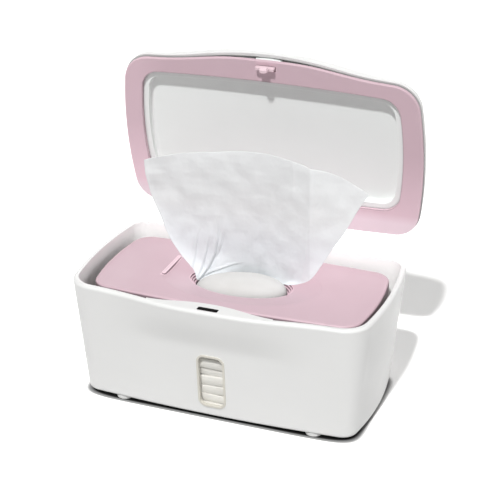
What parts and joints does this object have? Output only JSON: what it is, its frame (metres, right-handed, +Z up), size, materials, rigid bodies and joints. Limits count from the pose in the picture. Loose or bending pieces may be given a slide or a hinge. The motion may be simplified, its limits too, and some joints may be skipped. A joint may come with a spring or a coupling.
{
  "type": "wipes dispenser",
  "caption": "Tabletop wipes box with a sprung flip-up lid, soft seal, push-button hook and a weighted plate that feeds wipes through an oval opening.",
  "frame": {"origin": "middle of the whole box, lid open, on the surface that the feet stand on", "axes": "+X to the right as seen from the front, +Y to the back where the hinge is, +Z up"},
  "size_m": [0.238, 0.1584, 0.2455],
  "materials": {
    "white_shell": "satin",
    "white_tray": "satin",
    "cream_frame": "satin",
    "clear_pane": "clear",
    "soft_grey": "matte",
    "steel": "drawn wire and rod",
    "weight_steel": "coated sheet",
    "pink_seal": "matte, soft",
    "pink_plastic": "satin",
    "wipe_cloth": "non-woven, moist"
  },
  "bodies": {
    "base": {"tub": "white_shell", "window_bezel": "cream_frame", "window_pane": "clear_pane", "foot_front_left": "soft_grey", "foot_front_right": "soft_grey", "foot_back_left": "soft_grey", "foot_back_right": "soft_grey", "hinge_pin": "steel", "lid_spring_left": "steel", "lid_spring_right": "steel", "wipe_stack": "wipe_cloth"},
    "lid": {"lid_shell": "white_shell", "lid_tray": "white_tray", "lid_seal": "pink_seal", "latch_spring": "steel"},
    "latch": {"latch_button": "white_tray", "latch_hook": "pink_plastic"},
    "plate": {"plate_top": "pink_plastic", "plate_weight": "weight_steel", "plate_base": "pink_plastic", "pulled_wipe": "wipe_cloth"}
  },
  "joints": [
    {"name": "lid_hinge", "type": "hinge", "parent": "base", "child": "lid", "pos_m": [0, 0.06738, 0.0966], "axis": [1, 0, 0], "range_deg": [0, 81], "stiffness_Nm_per_rad": 0.06, "springref_deg": -57.3, "deforming": ["lid_spring_left", "lid_spring_right", "pulled_wipe"]},
    {"name": "latch_slide", "type": "slide", "parent": "lid", "child": "latch", "axis": [0, 0.1564, -0.9877], "range_m": [0, 0.002], "stiffness_N_per_m": 800, "springref_m": -0.002, "deforming": ["latch_spring"]},
    {"name": "plate_slide", "type": "slide", "parent": "base", "child": "plate", "axis": [0, 0, 1], "range_m": [-0.069, 0.005], "deforming": ["wipe_stack", "pulled_wipe"]}
  ]
}
